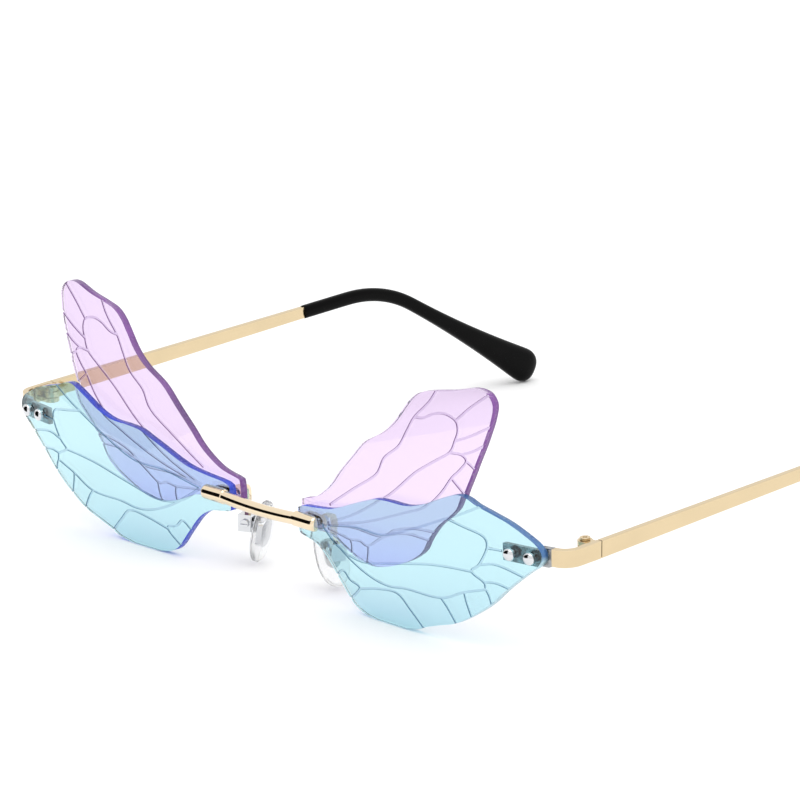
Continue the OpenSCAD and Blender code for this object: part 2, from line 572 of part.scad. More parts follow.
left() lower_wing();  // lower_wing_left
right() lower_wing();  // lower_wing_right
left() upper_wing();  // upper_wing_left
right() upper_wing();  // upper_wing_right
bridge_bar();
left() bridge_screws();  // bridge_screws_left
right() bridge_screws();  // bridge_screws_right
left() pad_arm();  // pad_arm_left
right() pad_arm();  // pad_arm_right
left() pad_box();  // pad_box_left
right() pad_box();  // pad_box_right
left() pad_screw();  // pad_screw_left
right() pad_screw();  // pad_screw_right
left() pad_core();  // pad_core_left
right() pad_core();  // pad_core_right
left() nose_pad();  // nose_pad_left
right() nose_pad();  // nose_pad_right
left() endpiece();  // endpiece_left
right() endpiece();  // endpiece_right
left() lens_pins();  // lens_pins_left
right() lens_pins();  // lens_pins_right
left() front_hinge();  // front_hinge_left
right() front_hinge();  // front_hinge_right
left() hinge_screw();  // hinge_screw_left
right() hinge_screw();  // hinge_screw_right
left() temple_hinge();  // temple_hinge_left
right() temple_hinge();  // temple_hinge_right
left() temple();  // temple_left
right() temple();  // temple_right
left() temple_tip();  // temple_tip_left
right() temple_tip();  // temple_tip_right
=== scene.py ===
import json
import math

import bmesh
import bpy
from bpy.props import FloatProperty, FloatVectorProperty, IntProperty, PointerProperty
from mathutils import Matrix, Vector


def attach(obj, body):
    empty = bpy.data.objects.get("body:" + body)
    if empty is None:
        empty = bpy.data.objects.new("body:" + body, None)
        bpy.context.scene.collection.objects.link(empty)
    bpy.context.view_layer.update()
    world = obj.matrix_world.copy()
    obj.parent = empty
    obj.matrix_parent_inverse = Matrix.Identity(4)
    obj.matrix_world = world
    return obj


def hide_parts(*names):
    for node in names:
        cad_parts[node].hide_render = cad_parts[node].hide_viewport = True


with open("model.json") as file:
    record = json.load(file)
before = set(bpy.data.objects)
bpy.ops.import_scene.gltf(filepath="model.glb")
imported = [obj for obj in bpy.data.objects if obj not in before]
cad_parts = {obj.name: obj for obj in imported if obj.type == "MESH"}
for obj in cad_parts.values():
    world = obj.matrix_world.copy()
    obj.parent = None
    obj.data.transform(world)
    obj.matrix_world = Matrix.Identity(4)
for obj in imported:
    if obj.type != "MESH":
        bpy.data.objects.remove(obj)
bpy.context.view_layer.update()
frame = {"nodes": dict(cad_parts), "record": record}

bl_info = {
    "name": "Wing Sunglasses",
    "version": (1, 0, 0),
    "blender": (4, 5, 0),
    "location": "View3D > Sidebar > Sunglasses",
    "description": "Dresses a frame of rimless wing-shaped sunglasses with finished pieces and materials",
    "category": "Add Mesh",
}

MM = 0.001
SIDES = {"left": 1, "right": -1}
JOINTS = {j["name"]: j for j in frame["record"]["behaviour"]["joints"]}
BODY_OF = {
    node: body for body, nodes in frame["record"]["behaviour"]["bodies"].items() for node in nodes
}

# The lens blanks' front face, in millimetres: a sphere whose apex lies forward of the temple hinge
BLANK_RADIUS = 182.0
APEX_X = 34.8
APEX_Z = 29.4
HINGE_BEHIND_APEX = 12.8
LENS_Y = JOINTS["fold_left"]["pos_m"][1] / MM - HINGE_BEHIND_APEX
# How far the upper wings' front face lies behind the lower wings' front face
UPPER_DEPTH = 1.65
VEIN_DEPTH = 0.25
# The painted shade on a vein's floor comes in between these depths below the face, and goes out between these
# depths below the floor
FADE_NEAR = 0.06
FADE_FAR = 0.1
# A face of a lens follows the blank if the cosine between their normals is more than this
FACE_ALONG = 0.9
# The endpieces' plates come out from behind the lenses this far from the middle, and their gold starts there,
# where their painted shade ends
PLATE_END = 70.3
PLATE_FADE = 0.15
# Where the left lenses' walls take a painted pale light, and where they turn to their outer colour, from the
# middle outwards
WALLS_PAINTED_LIGHT = (10, 30)
WALLS_TURN = (35, 50)
# Features per metre, along each axis, of the brushing that runs along the temples
BRUSHED = (900, 60, 2500)


def face_y(x, z):
    """Depth of the blank's front face behind its apex."""
    return BLANK_RADIUS - math.sqrt(BLANK_RADIUS**2 - (x - APEX_X) ** 2 - (z - APEX_Z) ** 2)


def blank_centre(sign):
    """Centre of the blank's sphere in metres."""
    return Vector((sign * APEX_X, LENS_Y + BLANK_RADIUS, APEX_Z)) * MM


def on_lens(x, z):
    """A matrix that stands a piece on the left lens blank, with +Z out of its front face."""
    y = face_y(x, z)
    out = Vector((x - APEX_X, y - BLANK_RADIUS, z - APEX_Z)).normalized()
    place = out.to_track_quat("Z", "Y").to_matrix().to_4x4()
    place.translation = (x, LENS_Y + y, z)
    return place


def mirrored(bm, sign):
    """Turns a left piece into a right one."""
    if sign < 0:
        bmesh.ops.scale(bm, vec=(-1, 1, 1), verts=bm.verts)
        bmesh.ops.reverse_faces(bm, faces=bm.faces)


def merged_copy(node, flats=0.4):
    """A CAD node's mesh with its triangles joined, and its faces made whole up to flats degrees."""
    bm = bmesh.new()
    bm.from_mesh(frame["nodes"][node].data)
    bmesh.ops.remove_doubles(bm, verts=bm.verts, dist=0.5e-6)
    if flats:
        bmesh.ops.dissolve_limit(
            bm,
            angle_limit=math.radians(flats),
            verts=bm.verts,
            edges=bm.edges,
            use_dissolve_boundaries=False,
            delimit=set(),
        )
    return bm


def from_mm(bm):
    """Brings a mesh that was modelled in millimetres to metres."""
    bmesh.ops.scale(bm, vec=(MM, MM, MM), verts=bm.verts)
    return bm


def closed(bm):
    """Joins the seams of a spun shape, fills its ends and points its faces outwards."""
    bmesh.ops.remove_doubles(bm, verts=bm.verts, dist=1e-5)
    bmesh.ops.holes_fill(bm, edges=[e for e in bm.edges if e.is_boundary], sides=0)
    bmesh.ops.recalc_face_normals(bm, faces=bm.faces)


def piece(name, bm, node, material, crease, bevel=0.0, segments=3):
    """A finished mesh that stands for a CAD node and rides on its body.

    Edges sharper than the crease, in degrees, stay sharp or get the bevel, in millimetres.
    """
    mesh = bpy.data.meshes.new(name)
    bm.to_mesh(mesh)
    bm.free()
    mesh.materials.append(material)
    mesh.shade_smooth()
    mesh.set_sharp_from_angle(angle=math.radians(crease))
    obj = bpy.data.objects.new(name, mesh)
    bpy.context.scene.collection.objects.link(obj)
    if bevel:
        soften = obj.modifiers.new("Softened edges", "BEVEL")
        soften.width = bevel * MM
        soften.segments = segments
        soften.limit_method = "ANGLE"
        soften.angle_limit = math.radians(crease)
        soften.harden_normals = False
    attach(obj, BODY_OF[node])
    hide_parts(node)
    return obj


def skin(obj, name):
    """Smooths a moulded piece with one level of subdivision."""
    smooth = obj.modifiers.new(name, "SUBSURF")
    smooth.levels = smooth.render_levels = 1


def boxy(value, power):
    """A coordinate of a unit circle or ball, which a power below 1 brings nearer to that of a box."""
    return math.copysign(abs(value) ** power, value)


class Shader:
    """A small builder for one material's nodes, whose patterns lie on Object coordinates."""

    def __init__(self, name):
        self.material = bpy.data.materials.new(name)
        self.material.use_nodes = True
        self.tree = self.material.node_tree
        self.principled = self.tree.nodes["Principled BSDF"]
        self.output = self.tree.nodes["Material Output"]
        self.place = self.add("ShaderNodeTexCoord").outputs["Object"]

    def add(self, kind, **settings):
        node = self.tree.nodes.new(kind)
        for key, value in settings.items():
            setattr(node, key, value)
        return node

    def link(self, start, end):
        self.tree.links.new(start, end)

    def set(self, **values):
        """Sets values that are the same all over on the shader's own sockets."""
        for key, value in values.items():
            self.principled.inputs[key.replace("_", " ")].default_value = value

    def noise(self, scale, detail=3.0, stretch=None):
        """Noise with a scale in features per metre, or with one for each axis in stretch."""
        source = self.place
        if stretch:
            mapping = self.add("ShaderNodeMapping")
            mapping.inputs["Scale"].default_value = stretch
            self.link(source, mapping.inputs["Vector"])
            source = mapping.outputs["Vector"]
        noise = self.add("ShaderNodeTexNoise")
        noise.inputs["Scale"].default_value = scale
        noise.inputs["Detail"].default_value = detail
        noise.inputs["Roughness"].default_value = 0.5
        self.link(source, noise.inputs["Vector"])
        return noise.outputs["Fac"]

    def span(self, value, low, high, to_low=0, to_high=1):
        """Maps a value from one span to another, and holds it at the ends."""
        node = self.add("ShaderNodeMapRange", clamp=True)
        for socket, number in zip(("From Min", "From Max", "To Min", "To Max"), (low, high, to_low, to_high)):
            node.inputs[socket].default_value = number
        self.link(value, node.inputs["Value"])
        return node.outputs["Result"]

    def math(self, operation, a, b=None):
        node = self.add("ShaderNodeMath", operation=operation)
        for socket, value in zip(node.inputs, (a, b)):
            if isinstance(value, (int, float)):
                socket.default_value = value
            elif value is not None:
                self.link(value, socket)
        return node.outputs[0]

    def mix(self, factor, a, b):
        """Mixes two colours, through those of the node's sockets that are for colours."""
        node = self.add("ShaderNodeMix", data_type="RGBA")
        self.link(factor, node.inputs["Factor"])
        for socket, value in zip((node.inputs[6], node.inputs[7]), (a, b)):
            if isinstance(value, bpy.types.NodeSocket):
                self.link(value, socket)
            else:
                socket.default_value = (*value, 1.0)
        return node.outputs[2]

    def bump(self, height, distance, strength):
        """Lets a value from 0 to 1 raise the surface by a distance in metres."""
        node = self.add("ShaderNodeBump")
        node.inputs["Strength"].default_value = strength
        node.inputs["Distance"].default_value = distance
        self.link(height, node.inputs["Height"])
        self.link(node.outputs["Normal"], self.principled.inputs["Normal"])


def lit_through(s, shade):
    """Lets lamps shine through a clear material. The shade that it casts is a colour or a socket."""
    shadow = s.add("ShaderNodeBsdfTransparent")
    if isinstance(shade, bpy.types.NodeSocket):
        s.link(shade, shadow.inputs["Color"])
    else:
        shadow.inputs["Color"].default_value = (*shade, 1.0)
    path = s.add("ShaderNodeLightPath")
    lit = s.add("ShaderNodeMixShader")
    s.link(path.outputs["Is Shadow Ray"], lit.inputs[0])
    s.link(s.principled.outputs[0], lit.inputs[1])
    s.link(shadow.outputs[0], lit.inputs[2])
    s.link(lit.outputs[0], s.output.inputs["Surface"])


def tinted_lens(name, upper, lower, fade, vein, sign, depth, gloss):
    """Clear tinted plastic whose tint changes between the two heights of fade, with painted shade on the
    floors of its veins.

    The depth is that of the lens's front face behind the blank's.
    """
    s = Shader(name)
    from_centre = s.add("ShaderNodeVectorMath", operation="SUBTRACT")
    from_centre.inputs[1].default_value = blank_centre(sign)
    s.link(s.place, from_centre.inputs[0])
    length = s.add("ShaderNodeVectorMath", operation="LENGTH")
    s.link(from_centre.outputs[0], length.inputs[0])
    radius = length.outputs["Value"]
    front = BLANK_RADIUS - depth
    floor = front - VEIN_DEPTH
    below_front = s.span(radius, (front - FADE_NEAR) * MM, (front - FADE_FAR) * MM)
    above_floor = s.span(radius, (floor - FADE_FAR) * MM, (floor - FADE_NEAR) * MM)
    # Painted shade: the floors of the engraved veins take the darker vein colour
    vein_shade_mask = s.math("MULTIPLY", below_front, above_floor)
    height = s.add("ShaderNodeSeparateXYZ")
    s.link(s.place, height.inputs[0])
    cloud = s.span(s.noise(55.0, 2.0), 0, 1, -3 * MM, 3 * MM)
    level = s.math("ADD", height.outputs["Z"], cloud)
    body = s.mix(s.span(level, fade[0] * MM, fade[1] * MM), lower, upper)
    s.link(s.mix(vein_shade_mask, body, vein), s.principled.inputs["Base Color"])
    s.set(Metallic=0.0, IOR=1.49, Transmission_Weight=1.0, Specular_IOR_Level=0.5)
    s.link(s.span(s.noise(900.0, 4.0), 0.3, 0.7, gloss, gloss + 0.03), s.principled.inputs["Roughness"])
    s.bump(s.noise(40.0, 1.0), 0.04 * MM, 0.35)
    lit_through(s, body)
    return s.material


def lens_wall(name, colour, other, outer, pale, shade):
    """A cut wall of a tinted lens: it shows its deep colour from outside, and is clear from within.

    The colour turns to outer towards the left lens's outer end. On that lens it also takes a painted pale
    light, which comes in between the two values of pale for the upward part of the wall's normal.
    """
    s = Shader(name)
    geometry = s.add("ShaderNodeNewGeometry")
    within = geometry.outputs["Backfacing"]
    place = s.add("ShaderNodeSeparateXYZ")
    s.link(s.place, place.inputs[0])
    facing = s.add("ShaderNodeSeparateXYZ")
    s.link(geometry.outputs["Normal"], facing.inputs[0])
    patches = s.span(s.noise(70.0, 2.0), 0.4, 0.6)
    streaks = s.span(s.noise(1.0, 3.0, stretch=(500.0, 2500.0, 500.0)), 0.3, 0.7)
    turned = s.span(place.outputs["X"], WALLS_TURN[0] * MM, WALLS_TURN[1] * MM)
    deep = s.mix(turned, s.mix(patches, colour, other), outer)
    deep = s.mix(s.math("MULTIPLY", streaks, 0.35), deep, [c * 0.6 for c in colour])
    # Painted light: the wall is made paler by which way it faces, only on the left lens and more so towards
    # its outer end
    painted_light_on_walls = s.math(
        "MULTIPLY", s.span(facing.outputs["Z"], *pale, 0, 0.85),
        s.span(place.outputs["X"], WALLS_PAINTED_LIGHT[0] * MM, WALLS_PAINTED_LIGHT[1] * MM))
    # The wall's tint with the painted light mixed in
    tint_and_painted_light = s.mix(painted_light_on_walls, deep, [c * 0.9 for c in shade])
    s.link(s.mix(within, tint_and_painted_light, (1.0, 1.0, 1.0)), s.principled.inputs["Base Color"])
    s.link(within, s.principled.inputs["Transmission Weight"])
    matt = s.span(s.noise(1600.0, 3.0), 0.3, 0.7, 0.2, 0.34)
    s.link(s.math("MULTIPLY", matt, s.math("SUBTRACT", 1.0, within)), s.principled.inputs["Roughness"])
    s.set(IOR=1.49)
    lit_through(s, shade)
    return s.material


def plated(name, colour, worn, rough, grain, bump=0, bare=None):
    """Plated metal with uneven gloss and fine brushing, whose colour goes to worn times itself in patches.

    A colour for bare leaves the plating off where the part lies behind a lens, and darkens that bare metal
    there with a painted shade in swirls of two tones.
    """
    s = Shader(name)
    patches = s.span(s.noise(120.0, 4.0), 0.35, 0.65)
    skin = s.mix(patches, colour, [c * worn for c in colour])
    if bare:
        place = s.add("ShaderNodeSeparateXYZ")
        s.link(s.place, place.inputs[0])
        beyond = s.math("ABSOLUTE", place.outputs["X"])
        swirls = s.span(s.noise(700.0, 2.0), 0.42, 0.58)
        # Painted shade: the bare metal behind a lens is darkened to between a half and a quarter of its
        # colour
        bare_in_painted_shade = s.mix(swirls, [c * 0.5 for c in bare], [c * 0.25 for c in bare])
        skin = s.mix(s.span(beyond, PLATE_END * MM, (PLATE_END + PLATE_FADE) * MM), bare_in_painted_shade, skin)
    s.link(skin, s.principled.inputs["Base Color"])
    fine = s.noise(1.0, 3.0, stretch=grain)
    s.link(s.span(fine, 0.3, 0.7, rough * 0.8, rough * 1.25), s.principled.inputs["Roughness"])
    s.set(Metallic=1.0)
    if bump:
        s.bump(fine, bump, 0.5)
    return s.material


def clear_silicone(name, colour, rough):
    """Soft clear plastic with a slight milkiness and a matt skin."""
    s = Shader(name)
    milk = s.span(s.noise(350.0, 3.0), 0.35, 0.65)
    s.link(s.mix(milk, colour, [c * 0.95 for c in colour]), s.principled.inputs["Base Color"])
    s.link(s.span(s.noise(1500.0, 3.0), 0.3, 0.7, rough * 0.7, rough * 1.3), s.principled.inputs["Roughness"])
    s.set(IOR=1.42, Transmission_Weight=0.9)
    s.bump(s.noise(500.0, 2.0), 0.02 * MM, 0.3)
    lit_through(s, (0.9, 0.9, 0.91))
    return s.material


def moulded_black(name, colour, rough):
    """Moulded black plastic with a satin skin and a faint flow pattern."""
    s = Shader(name)
    flow = s.span(s.noise(1.0, 2.0, stretch=(400.0, 60.0, 400.0)), 0.3, 0.7)
    s.link(s.mix(flow, colour, [c * 1.7 for c in colour]), s.principled.inputs["Base Color"])
    s.link(s.span(s.noise(2500.0, 3.0), 0.3, 0.7, rough * 0.8, rough * 1.3), s.principled.inputs["Roughness"])
    s.set(IOR=1.14, Specular_IOR_Level=0.5)
    s.bump(s.noise(1800.0, 2.0), 0.01 * MM, 0.3)
    return s.material


def finish(name, make):
    """A material that is made once and then shared, under a name that no CAD material has."""
    name = "finished_" + name
    return bpy.data.materials.get(name) or make(name)


def satin_gold(name="satin_gold", bare=None):
    """Brushed gold plating."""
    look = bpy.context.scene.sunglasses_metal
    return finish(name, lambda n: plated(
        n, look.satin_gold, 0.96, look.satin_roughness, BRUSHED, bump=0.004 * MM, bare=bare))


def endpiece_gold():
    """Satin gold that leaves the plates bare behind the lenses, with a painted shade there."""
    return satin_gold("endpiece_gold", bpy.context.scene.sunglasses_metal.steel)


def polished_gold():
    """Mirror-bright gold plating."""
    look = bpy.context.scene.sunglasses_metal
    return finish("polished_gold", lambda n: plated(
        n, look.polished_gold, 0.97, look.polished_roughness, (300, 300, 300)))


def bright_steel():
    """Bare polished steel, which is made the same way as the plating."""
    look = bpy.context.scene.sunglasses_metal
    return finish("bright_steel", lambda n: plated(
        n, look.steel, 0.94, look.steel_roughness, (500, 500, 500)))


def tint(label, about, default):
    """A colour that a user may change."""
    return FloatVectorProperty(
        name=label, description=about, subtype="COLOR", size=3, min=0, max=1, default=default)


class LensSettings(bpy.types.PropertyGroup):
    blue: tint("Blue", "Tint of the lower wings near their top", (0.53, 0.775, 0.835))
    blue_low: tint("Blue, low", "Tint of the lower wings at their resting edge", (0.515, 0.8, 0.87))
    blue_edge: tint("Blue edge", "Colour seen into the edge of a lower wing", (0.03, 0.075, 0.66))
    blue_edge_dark: tint("Blue edge, dark", "Second colour of a lower wing's edge", (0.07, 0.09, 0.46))
    blue_edge_slate: tint(
        "Blue edge, slate", "Colour of the left lower wing's outer edge", (0.07, 0.19, 0.38))
    # The colour of the lower wings' vein floors is a painted shade
    blue_vein_shade: tint("Blue vein floors", "Colour of the floors of the lower wings' veins", (0.31, 0.5, 0.64))
    blue_groove: tint("Blue vein walls", "Colour of the walls of the lower wings' veins", (0.12, 0.27, 0.4))
    pink: tint("Pink", "Tint of the upper wings", (0.83, 0.685, 0.9))
    pink_low: tint("Pink, low", "Tint of the upper wings behind the lower ones", (0.77, 0.62, 1.0))
    pink_edge: tint("Pink edge", "Colour seen into the edge of an upper wing", (0.24, 0.085, 0.35))
    pink_edge_dark: tint("Pink edge, dark", "Second colour of an upper wing's edge", (0.13, 0.055, 0.2))
    # The colour of the upper wings' vein floors is a painted shade
    pink_vein_shade: tint("Pink vein floors", "Colour of the floors of the upper wings' veins", (0.53, 0.4, 0.64))
    pink_groove: tint("Pink vein walls", "Colour of the walls of the upper wings' veins", (0.25, 0.13, 0.32))
    gloss: FloatProperty(
        name="Roughness", description="Roughness of the lens faces", min=0, max=0.2, default=0.015)


class MetalSettings(bpy.types.PropertyGroup):
    satin_gold: tint(
        "Satin gold", "Colour of the temples, hinges, hinge screws and endpieces", (0.73, 0.585, 0.37))
    polished_gold: tint("Polished gold", "Colour of the bridge bar and the pad arms", (0.9, 0.75, 0.54))
    steel: tint("Steel", "Colour of the pins, screws, pad boxes and pad cores", (0.72, 0.73, 0.75))
    satin_roughness: FloatProperty(
        name="Satin roughness", description="Roughness of the satin gold", min=0, max=1, default=0.2)
    polished_roughness: FloatProperty(
        name="Polished roughness", description="Roughness of the polished gold", min=0, max=1, default=0.04)
    steel_roughness: FloatProperty(
        name="Steel roughness", description="Roughness of the bright steel", min=0, max=1, default=0.07)
    edge_round: FloatProperty(
        name="Edge round", description="Softening of the temples' and endpieces' edges, in millimetres",
        min=0.02, max=0.4, default=0.12)


class BridgeSettings(bpy.types.PropertyGroup):
    height: FloatProperty(
        name="Bar height", description="Height of the bar's middle, in millimetres", min=2, max=2.6,
        default=2.3)
    end_height: FloatProperty(
        name="End height", description="Height of the bar's ends, in millimetres", min=2.5, max=3,
        default=2.8)
    reach: FloatProperty(
        name="Reach", description="From the centre line to a rounded tip, in millimetres", min=14.5, max=16,
        default=15.2)
    end_length: FloatProperty(
        name="End length", description="Length of a taller end, in millimetres", min=4, max=7, default=5.8)
    middle_z: FloatProperty(
        name="Height above table", description="From the table to the bar's middle, in millimetres", min=13,
        max=15, default=14.1)
    sag: FloatProperty(
        name="Sag", description="How far the middle hangs below the ends, in millimetres", min=0.1, max=0.8,
        default=0.4)
    proud: FloatProperty(
        name="Proud", description="How far the bar stands forward of the lenses, in millimetres", min=1.2,
        max=2, default=1.9)
    rim: FloatProperty(
        name="Rim", description="Rounding of the ends' rims, in millimetres", min=0.2, max=1.3, default=0.8)
    steps: IntProperty(name="Steps", description="Divisions round a section", min=16, max=96, default=48)


class PadSettings(bpy.types.PropertyGroup):
    length: FloatProperty(
        name="Length", description="Length of a pad, in millimetres", min=11, max=14, default=12.4)
    width: FloatProperty(
        name="Width", description="Width of a pad, in millimetres", min=6, max=7.6, default=6.6)
    thickness: FloatProperty(
        name="Thickness", description="Thickness of a pad, in millimetres", min=2, max=3.2, default=2.7)
    splay: FloatProperty(
        name="Splay", description="How far the pads open towards the face", subtype="ANGLE",
        default=math.radians(24))
    flare: FloatProperty(
        name="Flare", description="How far the pads open downwards", subtype="ANGLE",
        default=math.radians(13))
    lean: FloatProperty(
        name="Lean", description="How far the pads' lower ends lean back", subtype="ANGLE",
        default=math.radians(10))
    standoff: FloatProperty(
        name="Stand-off", description="From the pivot to the back of a pad, in millimetres", default=1.9)
    ahead: FloatProperty(
        name="Ahead", description="How far a pad's middle lies forward of its pivot, in millimetres",
        default=0.4)
    drop: FloatProperty(
        name="Drop", description="How far a pad's middle lies below its pivot, in millimetres", default=0.6)
    colour: tint("Colour", "Colour of the clear pads", (0.96, 0.965, 0.97))
    roughness: FloatProperty(
        name="Roughness", description="Roughness of the pads", min=0, max=1, default=0.17)


class TempleSettings(bpy.types.PropertyGroup):
    bar_length: FloatProperty(
        name="Bar length", description="From the joint to the mouth of the tip, in millimetres", min=58,
        max=70, default=63.4)
    tip_straight: FloatProperty(
        name="Straight", description="From the tip's mouth to the ear bend, in millimetres", min=10, max=17,
        default=11.8)
    ear_radius: FloatProperty(
        name="Ear bend", description="Radius of the ear bend, in millimetres", min=26, max=36, default=30)
    ear_length: FloatProperty(
        name="Ear piece", description="From the bend to the middle of a ball end, in millimetres",
        min=33, max=39, default=35.6)
    pitch: FloatProperty(
        name="Pitch", description="How far a temple rises towards the rear", subtype="ANGLE",
        default=math.radians(4))
    toe_in: FloatProperty(
        name="Toe-in", description="How far a temple closes in towards the rear", subtype="ANGLE",
        default=math.radians(0.8))
    mouth_height: FloatProperty(
        name="Mouth height", description="Height of a tip at its mouth, in millimetres", default=2.7)
    mouth_thickness: FloatProperty(
        name="Mouth thickness", description="Thickness of a tip at its mouth, in millimetres", default=2.2)
    end_height: FloatProperty(
        name="End height", description="Height of a tip near its end, in millimetres", default=7)
    end_thickness: FloatProperty(
        name="End thickness", description="Thickness of a tip near its end, in millimetres", default=3.7)
    end_swell: FloatProperty(
        name="End swell", description="Power of the curve by which a tip gets taller: more is later",
        min=1, max=3, default=1.9)
    end_blunt: FloatProperty(
        name="End bluntness", description="Power of the curve that rounds a tip's end: 1 is a ball",
        min=0.5, max=1, default=0.62)
    black: tint("Tip colour", "Colour of the tips", (0.0015, 0.0015, 0.0015))
    tip_roughness: FloatProperty(name="Tip roughness", description="Roughness of the tips", default=0.22)


class StageSettings(bpy.types.PropertyGroup):
    focal_length: FloatProperty(
        name="Focal length", description="Focal length of the camera, in millimetres", default=249.75)
    turn: FloatProperty(
        name="Turn", description="How far the camera stands round to the wearer's left", subtype="ANGLE",
        default=math.radians(46.9987))
    elevation: FloatProperty(
        name="Elevation", description="How far the camera looks down", subtype="ANGLE",
        default=math.radians(14.855))
    overhead: FloatProperty(name="Overhead light", description="Strength of the overhead light", default=0.8)
    softness: FloatProperty(
        name="Softness", description="Apparent width of the overhead light", subtype="ANGLE",
        default=math.radians(50))
    sky: FloatProperty(name="Sky", description="Strength of the surrounding light", default=1.0)


def polish(obj, sign):
    """Gives the faces that follow the lens blank the blank's own smooth normals."""
    centre = blank_centre(sign)
    mesh = obj.data
    normals = [Vector(n.vector) for n in mesh.corner_normals]
    for face in mesh.polygons:
        out = (face.center - centre).normalized()
        side = face.normal.dot(out)
        if abs(side) > FACE_ALONG:
            for corner in face.loop_indices:
                point = mesh.vertices[mesh.loops[corner].vertex_index].co
                normals[corner] = (point - centre).normalized() * math.copysign(1, side)
    mesh.normals_split_custom_set(normals)


class SUNGLASSES_OT_lenses(bpy.types.Operator):
    """Makes the four tinted wing lenses with their engraved veins"""
    bl_idname = "sunglasses.lenses"
    bl_label = "Wing Lenses"

    # Heights between which a tint changes, in millimetres
    blue_fade, pink_fade = (0, 34), (11, 21)
    # Upward parts of a wall's normal between which a painted pale light comes in: on the blue walls as they
    # face down, on the pink walls as they face up. No normal reaches those of the veins
    blue_pale, pink_pale, never_pale = (0.05, -0.5), (0.8, 0.98), (2, 3)

    def execute(self, context):
        look = context.scene.sunglasses_lenses
        walls = {
            "blue": (
                lens_wall("blue_edge", look.blue_edge, look.blue_edge_dark, look.blue_edge_slate,
                          self.blue_pale, look.blue),
                lens_wall("blue_groove", *[look.blue_groove] * 3, self.never_pale, look.blue)),
            "pink": (
                lens_wall("pink_edge", look.pink_edge, look.pink_edge_dark, look.pink_edge,
                          self.pink_pale, look.pink),
                lens_wall("pink_groove", *[look.pink_groove] * 3, self.never_pale, look.pink))}
        wings = (
            ("blue", "lower_wing_", 0, (look.blue, look.blue_low, self.blue_fade, look.blue_vein_shade)),
            ("pink", "upper_wing_", UPPER_DEPTH, (look.pink, look.pink_low, self.pink_fade, look.pink_vein_shade)))
        for side, sign in SIDES.items():
            for colour, node, depth, tints in wings:
                slot = colour + "_lens"
                name = slot + "_" + side
                material = tinted_lens(name, *tints, sign, depth, look.gloss)
                bm = merged_copy(node + side, flats=0)
                self.sort_faces(bm, sign, depth)
                obj = piece(name, bm, node + side, material, crease=45)
                for wall in walls[colour]:
                    obj.data.materials.append(wall)
                polish(obj, sign)
        return {"FINISHED"}

    def sort_faces(self, bm, sign, depth):
        """Gives the lens's outer walls the second material, and the walls of its veins the third."""
        centre = blank_centre(sign)
        floor = (BLANK_RADIUS - depth - VEIN_DEPTH - FADE_FAR) * MM
        for face in bm.faces:
            out = (face.calc_center_median() - centre).normalized()
            if abs(face.normal.dot(out)) < FACE_ALONG:
                deepest = min((v.co - centre).length for v in face.verts)
                face.material_index = 2 if deepest > floor else 1


